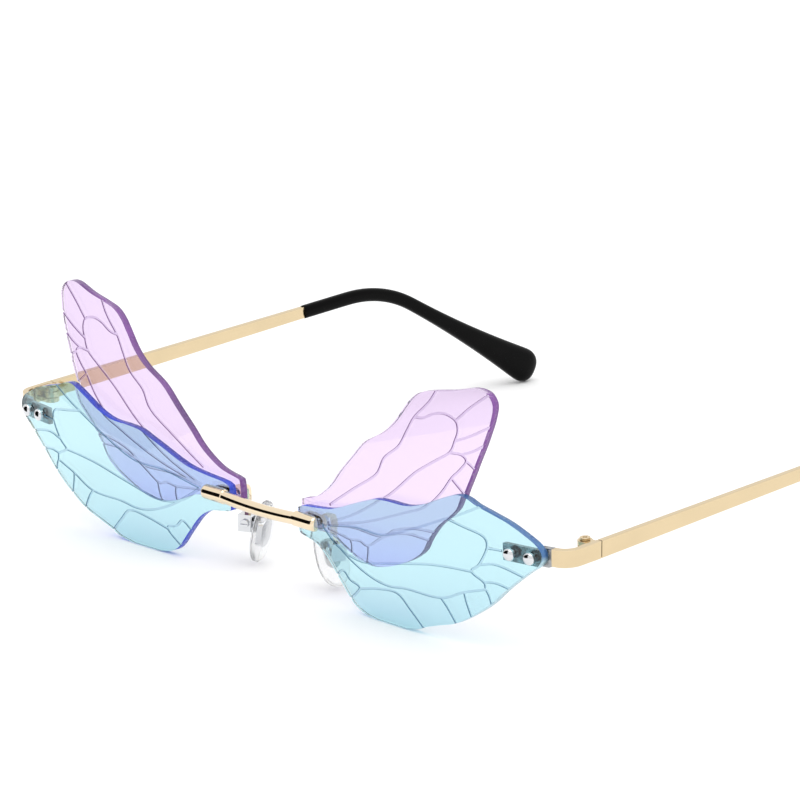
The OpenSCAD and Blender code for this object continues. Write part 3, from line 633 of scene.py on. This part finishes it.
class SUNGLASSES_OT_bridge_bar(bpy.types.Operator):
    """Makes the polished bar across the nose, with a rounded middle and two taller ends"""
    bl_idname = "sunglasses.bridge_bar"
    bl_label = "Bridge Bar"

    # In millimetres: from a tip to the middle of its two screws, the gap to the lens, how far the middle
    # runs into the ends and stands back from them, and the chamfer of an end's inner rim
    screws_in, lens_gap, overlap, set_back, chamfer = 3.1, 0.05, 0.4, 0.1, 0.2
    # Flat backs, as shares of the middle's height: behind the middle's axis, and behind the ends' front
    middle_flat, end_flat = 0.2, 0.8
    arc_steps = 36

    def execute(self, context):
        bar = context.scene.sunglasses_bridge
        bridge_x = bar.reach - self.screws_in
        lens_seat = on_lens(bridge_x, bar.middle_z + bar.sag)
        bar_front = LENS_Y + face_y(bridge_x, bar.middle_z) - bar.proud
        bm = bmesh.new()
        self.middle(bm, bar, bar_front)
        for sign in SIDES.values():
            end = self.end(bar, bar_front, lens_seat)
            mirrored(end, sign)
            mesh = bpy.data.meshes.new("bar_end")
            end.to_mesh(mesh)
            end.free()
            bm.from_mesh(mesh)
            bpy.data.meshes.remove(mesh)
        piece("bridge_bar_polished", from_mm(bm), "bridge_bar", polished_gold(),
              crease=38, bevel=0.1)
        return {"FINISHED"}

    def middle(self, bm, bar, bar_front):
        """A bar of D section, flat behind, swept along a shallow arc."""
        half = bar.reach - bar.end_length + self.overlap
        radius = half * half / 2 / bar.sag
        angle = math.asin(half / radius)
        section_y = bar_front + bar.height / 2 + self.set_back
        centre = Vector((0, section_y, bar.middle_z + radius))
        place = Matrix.Translation((0, section_y, bar.middle_z)) @ Matrix.Rotation(math.pi / 2, 4, "Y")
        ring = bmesh.ops.create_circle(bm, segments=bar.steps, radius=bar.height / 2, matrix=place)["verts"]
        bmesh.ops.rotate(bm, cent=centre, matrix=Matrix.Rotation(angle, 3, "Y"), verts=ring)
        bmesh.ops.spin(
            bm, geom=bm.verts[:] + bm.edges[:], cent=centre, axis=(0, 1, 0), angle=-2 * angle,
            steps=self.arc_steps, use_merge=False)
        closed(bm)
        self.cut(bm, (0, section_y + self.middle_flat * bar.height, 0), (0, 1, 0))

    def end(self, bar, bar_front, lens_seat):
        """A round bar with a flat tip in a rounded rim, cut off along the lens that it lies on."""
        bm = bmesh.new()
        r = bar.end_height / 2
        start = bar.reach - bar.end_length
        outline = [(start, 0), (start, r - self.chamfer), (start + self.chamfer, r)]
        rim = bar.rim
        rim_steps = bar.steps // 4
        for i in range(rim_steps + 1):
            a = math.pi / 2 * i / rim_steps
            outline.append((bar.reach - rim + rim * math.sin(a), r - rim + rim * math.cos(a)))
        outline.append((bar.reach, 0))
        axis_y = bar_front + r
        axis_z = bar.middle_z + bar.sag
        verts = [bm.verts.new((x, axis_y, axis_z + z)) for x, z in outline]
        for a, b in zip(verts, verts[1:]):
            bm.edges.new((a, b))
        bmesh.ops.spin(
            bm, geom=bm.verts[:] + bm.edges[:], cent=(0, axis_y, axis_z), axis=(1, 0, 0), angle=math.tau,
            steps=bar.steps, use_merge=True)
        closed(bm)
        out = lens_seat.to_3x3() @ Vector((0, 0, 1))
        self.cut(bm, lens_seat.translation + self.lens_gap * out, -out)
        self.cut(bm, (0, bar_front + self.end_flat * bar.height, 0), (0, 1, 0))
        return bm

    def cut(self, bm, point, beyond):
        """Removes what lies beyond a plane and closes the shape there."""
        made = bmesh.ops.bisect_plane(
            bm, geom=bm.verts[:] + bm.edges[:] + bm.faces[:], plane_co=point, plane_no=beyond,
            clear_outer=True)
        edges = [g for g in made["geom_cut"] if isinstance(g, bmesh.types.BMEdge)]
        bmesh.ops.holes_fill(bm, edges=edges, sides=0)
        bmesh.ops.recalc_face_normals(bm, faces=bm.faces)


class SUNGLASSES_OT_lens_pins(bpy.types.Operator):
    """Makes the domed pins that hold the endpieces to the lenses"""
    bl_idname = "sunglasses.lens_pins"
    bl_label = "Lens Pins"

    # In millimetres: the middle of a side's two pins, and the distance between them
    middle_x, middle_z, pitch = 65.2, 19.2, 4.2
    # A pin's sizes, the depth of the endpiece's back below the lens's face, and the gap to either of them
    head_r, head_h, rim_h = 1.15, 1.0, 0.3
    shank_r, foot_r, foot_h, foot_chamfer = 0.6, 0.9, 0.35, 0.1
    plate_back, gap = 2.45, 0.05
    dome_steps, turn_steps = 9, 40

    def execute(self, context):
        for side, sign in SIDES.items():
            bm = bmesh.new()
            for i in (-1, 1):
                self.pin(bm, on_lens(self.middle_x + i * self.pitch / 2, self.middle_z))
            mirrored(bm, sign)
            piece("lens_pins_domed_" + side, from_mm(bm), "lens_pins_" + side,
                  bright_steel(), crease=40)
        return {"FINISHED"}

    def pin(self, bm, place):
        """One pin: a shallow dome with a short rim in front, a shank and a riveted foot behind."""
        back = -self.plate_back - self.gap
        foot = back - self.foot_h
        outline = [
            (0, foot), (self.foot_r - self.foot_chamfer, foot), (self.foot_r, foot + self.foot_chamfer),
            (self.foot_r, back), (self.shank_r, back),
            (self.shank_r, self.gap), (self.head_r, self.gap), (self.head_r, self.rim_h)]
        dome_h = self.head_h - self.rim_h
        for i in range(1, self.dome_steps + 1):
            a = math.pi / 2 * i / self.dome_steps
            outline.append((self.head_r * math.cos(a), self.rim_h + dome_h * math.sin(a)))
        verts = [bm.verts.new(place @ Vector((r, 0, z))) for r, z in outline]
        edges = [bm.edges.new(pair) for pair in zip(verts, verts[1:])]
        bmesh.ops.spin(
            bm, geom=verts + edges, cent=place.translation, axis=place.to_3x3() @ Vector((0, 0, 1)),
            angle=math.tau, steps=self.turn_steps, use_merge=True)
        closed(bm)


class SUNGLASSES_OT_fasteners(bpy.types.Operator):
    """Finishes the screws of the bridge, the nose pads and the hinges"""
    bl_idname = "sunglasses.fasteners"
    bl_label = "Screws"

    def execute(self, context):
        metals = (
            ("bridge_screws_", "bright_steel", bright_steel), ("pad_screw_", "bright_steel", bright_steel),
            ("hinge_screw_", "satin_gold", satin_gold))
        for side in SIDES:
            for kind, slot, metal in metals:
                node = kind + side
                piece(node + "_turned", merged_copy(node), node, metal(), crease=30, bevel=0.04,
                      segments=2)
        return {"FINISHED"}


class SUNGLASSES_OT_pad_mounts(bpy.types.Operator):
    """Finishes the pad arms, their boxes and the metal cores of the pads"""
    bl_idname = "sunglasses.pad_mounts"
    bl_label = "Pad Mounts"

    def execute(self, context):
        for side in SIDES:
            node = "pad_arm_" + side
            piece("pad_arm_bent_" + side, merged_copy(node), node, polished_gold(),
                  crease=35, bevel=0.06, segments=2)
            for kind in ("pad_box_", "pad_core_"):
                node = kind + side
                piece(node + "_pressed", merged_copy(node), node, bright_steel(),
                      crease=30, bevel=0.07, segments=2)
        return {"FINISHED"}


class SUNGLASSES_OT_nose_pads(bpy.types.Operator):
    """Makes the soft clear nose pads"""
    bl_idname = "sunglasses.nose_pads"
    bl_label = "Nose Pads"

    # How much narrower a pad is at its upper end, and the powers that square off its three directions
    taper = 0.1
    thick_power, across_power, along_power = 0.62, 0.86, 0.9

    def execute(self, context):
        pad = context.scene.sunglasses_pads
        clear = finish("clear_pad", lambda n: clear_silicone(n, pad.colour, pad.roughness))
        pivot = Vector(JOINTS["pad_rock_left"]["pos_m"]) / MM
        place = (
            Matrix.Translation(pivot)
            @ Matrix.Rotation(-pad.splay, 4, "Z") @ Matrix.Rotation(-pad.flare, 4, "Y")
            @ Matrix.Translation((-pad.standoff - pad.thickness / 2, -pad.ahead, -pad.drop))
            @ Matrix.Rotation(pad.lean, 4, "X"))
        for side, sign in SIDES.items():
            bm = bmesh.new()
            bmesh.ops.create_uvsphere(bm, u_segments=48, v_segments=28, radius=1)
            for v in bm.verts:
                v.co = self.pad_point(v.co, pad)
            bmesh.ops.transform(bm, matrix=place, verts=bm.verts)
            bmesh.ops.recalc_face_normals(bm, faces=bm.faces)
            mirrored(bm, sign)
            obj = piece("nose_pad_soft_" + side, from_mm(bm), "nose_pad_" + side, clear,
                        crease=70)
            skin(obj, "Soft skin")
        return {"FINISHED"}

    def pad_point(self, p, pad):
        """Squares a ball off into a pad: long along Z, thin along X, and fuller at its lower end."""
        thick = boxy(p.x, self.thick_power)
        across = boxy(p.y, self.across_power) * (1 - self.taper * p.z)
        along = boxy(p.z, self.along_power)
        return Vector((thick * pad.thickness / 2, across * pad.width / 2, along * pad.length / 2))


class SUNGLASSES_OT_endpieces(bpy.types.Operator):
    """Finishes the endpieces and both halves of each temple hinge"""
    bl_idname = "sunglasses.endpieces"
    bl_label = "Endpieces and Hinges"

    def execute(self, context):
        soft = context.scene.sunglasses_metal.edge_round
        for side in SIDES:
            node = "endpiece_" + side
            piece("endpiece_bent_" + side, merged_copy(node), node, endpiece_gold(),
                  crease=35, bevel=soft)
            for kind in ("front_hinge_", "temple_hinge_"):
                node = kind + side
                piece(node + "_milled", merged_copy(node), node, satin_gold(),
                      crease=35, bevel=0.06, segments=2)
        return {"FINISHED"}


class SUNGLASSES_OT_temples(bpy.types.Operator):
    """Finishes the flat gold temples"""
    bl_idname = "sunglasses.temples"
    bl_label = "Temples"

    def execute(self, context):
        soft = context.scene.sunglasses_metal.edge_round
        for side in SIDES:
            node = "temple_" + side
            piece(node + "_bar", merged_copy(node), node, satin_gold(), crease=35, bevel=soft)
        return {"FINISHED"}


class SUNGLASSES_OT_temple_tips(bpy.types.Operator):
    """Makes the black tips, which bend over the ears and swell towards their blunt ends"""
    bl_idname = "sunglasses.temple_tips"
    bl_label = "Temple Tips"

    # In millimetres: the temple bar's thickness, its outer face's distance from the middle of the
    # sunglasses, and how far its start lies behind the lenses' foremost point
    strip_t, flank_x, temple_y = 1.1, 74.0, 14.0
    # The ear piece is shorter by this, so that the blunt end stays within the length of a ball end
    blunt_gap = 0.36
    # The mouth's lip from the inside out: distance past the mouth, share of its height and of its thickness
    lip = ((0.25, 0.8, 0.8), (0, 0.86, 0.84), (0, 0.97, 0.95), (0.25, 1, 1))
    straight_stops = (0.35, 0.7, 1)
    bend_steps, swell_steps = 10, 10
    # Angles round the blunt end from its rim towards its middle, in degrees
    blunt_angles = (16, 32, 46, 58, 68, 77, 84)
    section_steps, section_power = 28, 0.85

    def execute(self, context):
        arm = context.scene.sunglasses_temples
        black = finish("black_tip", lambda n: moulded_black(n, arm.black, arm.tip_roughness))
        joint = Vector(JOINTS["fold_left"]["pos_m"]) / MM
        temple_z = joint.z + (self.temple_y - HINGE_BEHIND_APEX) * math.tan(arm.pitch)
        start = Matrix.Translation((self.flank_x - self.strip_t / 2, LENS_Y + self.temple_y, temple_z))
        stations = self.stations(arm, temple_z)
        for side, sign in SIDES.items():
            bm = bmesh.new()
            self.loft(bm, stations)
            bmesh.ops.transform(bm, matrix=start @ Matrix.Rotation(arm.toe_in, 4, "Z"), verts=bm.verts)
            mirrored(bm, sign)
            obj = piece("temple_tip_moulded_" + side, from_mm(bm), "temple_tip_" + side, black,
                        crease=60)
            skin(obj, "Moulded skin")
        return {"FINISHED"}

    def stations(self, arm, temple_z):
        """Places along the tip's centre line, as (y, z, direction, half height, half thickness)."""
        along = Vector((math.cos(arm.pitch), math.sin(arm.pitch)))
        above = Vector((-along.y, along.x))
        bend = along * (arm.bar_length + arm.tip_straight)
        centre = bend - arm.ear_radius * above
        drop = arm.end_height / 2 - temple_z - centre.y
        slope = math.asin(drop / math.hypot(arm.ear_radius, arm.ear_length)) - math.atan2(
            arm.ear_radius, arm.ear_length)
        down = Vector((math.cos(slope), math.sin(slope)))
        bend_end = centre + arm.ear_radius * Vector((-down.y, down.x))
        mouth_h, mouth_t = arm.mouth_height / 2, arm.mouth_thickness / 2
        end_h, end_t = arm.end_height / 2, arm.end_thickness / 2
        rows = [
            (along * (arm.bar_length + distance), arm.pitch, mouth_h * share_h, mouth_t * share_t)
            for distance, share_h, share_t in self.lip]
        for t in self.straight_stops:
            rows.append((along * (arm.bar_length + arm.tip_straight * t), arm.pitch, mouth_h, mouth_t))
        for i in range(1, self.bend_steps + 1):
            a = arm.pitch + (slope - arm.pitch) * i / self.bend_steps
            rows.append((centre + arm.ear_radius * Vector((-math.sin(a), math.cos(a))), a, mouth_h, mouth_t))
        reach = arm.ear_length - self.blunt_gap
        for i in range(1, self.swell_steps + 1):
            t = i / self.swell_steps
            half_h = mouth_h + (end_h - mouth_h) * t**arm.end_swell
            rows.append((bend_end + down * reach * t, slope, half_h, mouth_t + (end_t - mouth_t) * t))
        for degrees in self.blunt_angles:
            a = math.radians(degrees)
            blunt = math.cos(a) ** arm.end_blunt
            end = bend_end + down * (reach + math.sin(a) * end_h)
            rows.append((end, slope, blunt * end_h, blunt * end_t))
        return rows

    def loft(self, bm, stations):
        """Extrudes a rounded section from station to station, and closes both ends."""
        first = bmesh.ops.create_circle(bm, segments=self.section_steps, radius=1)["verts"]
        for v in first:
            v.co = (boxy(v.co.x, self.section_power), 0, boxy(v.co.y, self.section_power))
        ring, before = bm.edges[:], Matrix.Identity(4)
        for index, (point, angle, half_h, half_t) in enumerate(stations):
            place = (
                Matrix.Translation((0, point.x, point.y)) @ Matrix.Rotation(angle, 4, "X")
                @ Matrix.Diagonal((half_t, 1, half_h, 1)))
            if index:
                made = bmesh.ops.extrude_edge_only(bm, edges=ring)["geom"]
                ring = [g for g in made if isinstance(g, bmesh.types.BMEdge)]
            verts = list({v for e in ring for v in e.verts})
            bmesh.ops.transform(bm, matrix=place @ before.inverted(), verts=verts)
            before = place
        bmesh.ops.holes_fill(bm, edges=[e for e in bm.edges if e.is_boundary], sides=0)
        bmesh.ops.recalc_face_normals(bm, faces=bm.faces)


class SUNGLASSES_OT_stage(bpy.types.Operator):
    """Makes the pale floor, a dark card for the metal to mirror, the soft studio light and the camera"""
    bl_idname = "sunglasses.stage"
    bl_label = "Stage"

    # In metres: half the floor's width, and how far it lies below the resting level, and the card above it
    floor_reach, clearance = 3, 0.1 * MM
    # In metres: the card's two ends, its gap ahead of the lenses and its depth, then its height at its far
    # edge and what that height rises by towards the middle
    card_left, card_right, card_gap, card_depth = -2.6, -0.07, 0.034, 0.95
    card_height, card_rise = 0.5, 0.65
    # The side that the light comes from
    light_from = (0.25, -0.2, 1)
    # The camera's place in metres, with its distance ahead of the lenses, and its sensor in millimetres
    camera_x, camera_ahead, camera_z, sensor_width = 0.715908, 0.631875, 0.287867, 36

    def execute(self, context):
        stage = context.scene.sunglasses_stage
        self.floor()
        self.dark_card()
        sun = bpy.data.lights.new("Overhead light", "SUN")
        sun.energy = stage.overhead
        sun.angle = stage.softness
        lamp = bpy.data.objects.new("Overhead light", sun)
        lamp.rotation_euler = Vector(self.light_from).to_track_quat("Z", "Y").to_euler()
        context.scene.collection.objects.link(lamp)
        world = bpy.data.worlds.new("Studio")
        world.use_nodes = True
        back = world.node_tree.nodes["Background"]
        back.inputs["Color"].default_value = (1, 1, 1, 1)
        back.inputs["Strength"].default_value = stage.sky
        context.scene.world = world
        context.scene.view_settings.view_transform = "Standard"
        self.camera(context, stage)
        return {"FINISHED"}

    def floor(self):
        """A matt floor just under the sunglasses."""
        bm = bmesh.new()
        bmesh.ops.create_grid(bm, x_segments=1, y_segments=1, size=self.floor_reach)
        bmesh.ops.translate(bm, vec=(0, 0, -self.clearance), verts=bm.verts)
        s = Shader("white_floor")
        s.set(Base_Color=(0.98, 0.98, 0.98, 1), Specular_IOR_Level=0.1)
        s.link(s.span(s.noise(12.0, 2.0), 0.3, 0.7, 0.85, 0.95), s.principled.inputs["Roughness"])
        self.backdrop("floor", bm, s.material)

    def dark_card(self):
        """A card that lies ahead on one side and stands up at its far edge, seen in reflections alone."""
        bm = bmesh.new()
        start = LENS_Y * MM - self.card_gap
        a, b = (bm.verts.new((x, start, self.clearance)) for x in (self.card_left, self.card_right))
        edge = [bm.edges.new((a, b))]
        for step in ((0, -self.card_depth, 0), (0, 0, self.card_height)):
            made = bmesh.ops.extrude_edge_only(bm, edges=edge)["geom"]
            verts = [g for g in made if isinstance(g, bmesh.types.BMVert)]
            bmesh.ops.translate(bm, vec=step, verts=verts)
            edge = [e for e in bm.edges if all(v in verts for v in e.verts)]
        max(verts, key=lambda v: v.co.x).co.z += self.card_rise
        s = Shader("dark_card")
        s.set(Base_Color=(0.004, 0.004, 0.004, 1), Roughness=0.9, Specular_IOR_Level=0.0)
        obj = self.backdrop("dark_card", bm, s.material)
        obj.visible_camera = False
        obj.visible_diffuse = False
        obj.visible_transmission = False
        obj.visible_shadow = False

    def backdrop(self, name, bm, material):
        """An object of the stage, which isn't part of the sunglasses."""
        mesh = bpy.data.meshes.new(name)
        bm.to_mesh(mesh)
        bm.free()
        mesh.materials.append(material)
        obj = bpy.data.objects.new(name, mesh)
        bpy.context.scene.collection.objects.link(obj)
        return obj

    def camera(self, context, stage):
        """A long lens that looks at the sunglasses from the photograph's viewing angle."""
        lens = bpy.data.cameras.new("Camera")
        lens.lens = stage.focal_length
        lens.sensor_width = self.sensor_width
        lens.clip_start = 0.01
        lens.dof.use_dof = False
        obj = bpy.data.objects.new("Camera", lens)
        obj.location = (self.camera_x, LENS_Y * MM - self.camera_ahead, self.camera_z)
        level = math.cos(stage.elevation)
        back = Vector((
            math.sin(stage.turn) * level, -math.cos(stage.turn) * level, math.sin(stage.elevation)))
        obj.rotation_euler = (-back).to_track_quat("-Z", "Y").to_euler()
        context.scene.collection.objects.link(obj)
        context.scene.camera = obj


OPERATORS = (
    SUNGLASSES_OT_lenses,
    SUNGLASSES_OT_bridge_bar,
    SUNGLASSES_OT_lens_pins,
    SUNGLASSES_OT_fasteners,
    SUNGLASSES_OT_pad_mounts,
    SUNGLASSES_OT_nose_pads,
    SUNGLASSES_OT_endpieces,
    SUNGLASSES_OT_temples,
    SUNGLASSES_OT_temple_tips,
    SUNGLASSES_OT_stage,
)
SETTINGS = {
    "sunglasses_lenses": LensSettings,
    "sunglasses_metal": MetalSettings,
    "sunglasses_bridge": BridgeSettings,
    "sunglasses_pads": PadSettings,
    "sunglasses_temples": TempleSettings,
    "sunglasses_stage": StageSettings,
}


class SUNGLASSES_PT_panel(bpy.types.Panel):
    """Lists the settings and the steps that dress the sunglasses"""
    bl_idname = "SUNGLASSES_PT_panel"
    bl_label = "Wing Sunglasses"
    bl_space_type = "VIEW_3D"
    bl_region_type = "UI"
    bl_category = "Sunglasses"

    def draw(self, context):
        for name, group in SETTINGS.items():
            box = self.layout.box()
            for prop in group.__annotations__:
                box.prop(getattr(context.scene, name), prop)
        for operator in OPERATORS:
            self.layout.operator(operator.bl_idname)


def register():
    for name, group in SETTINGS.items():
        bpy.utils.register_class(group)
        setattr(bpy.types.Scene, name, PointerProperty(type=group))
    for cls in (*OPERATORS, SUNGLASSES_PT_panel):
        bpy.utils.register_class(cls)


def unregister():
    for cls in (SUNGLASSES_PT_panel, *reversed(OPERATORS)):
        bpy.utils.unregister_class(cls)
    for name, group in reversed(SETTINGS.items()):
        delattr(bpy.types.Scene, name)
        bpy.utils.unregister_class(group)


def main():
    register()
    for operator in OPERATORS:
        group, name = operator.bl_idname.split(".")
        getattr(getattr(bpy.ops, group), name)()


if __name__ == "__main__":
    main()
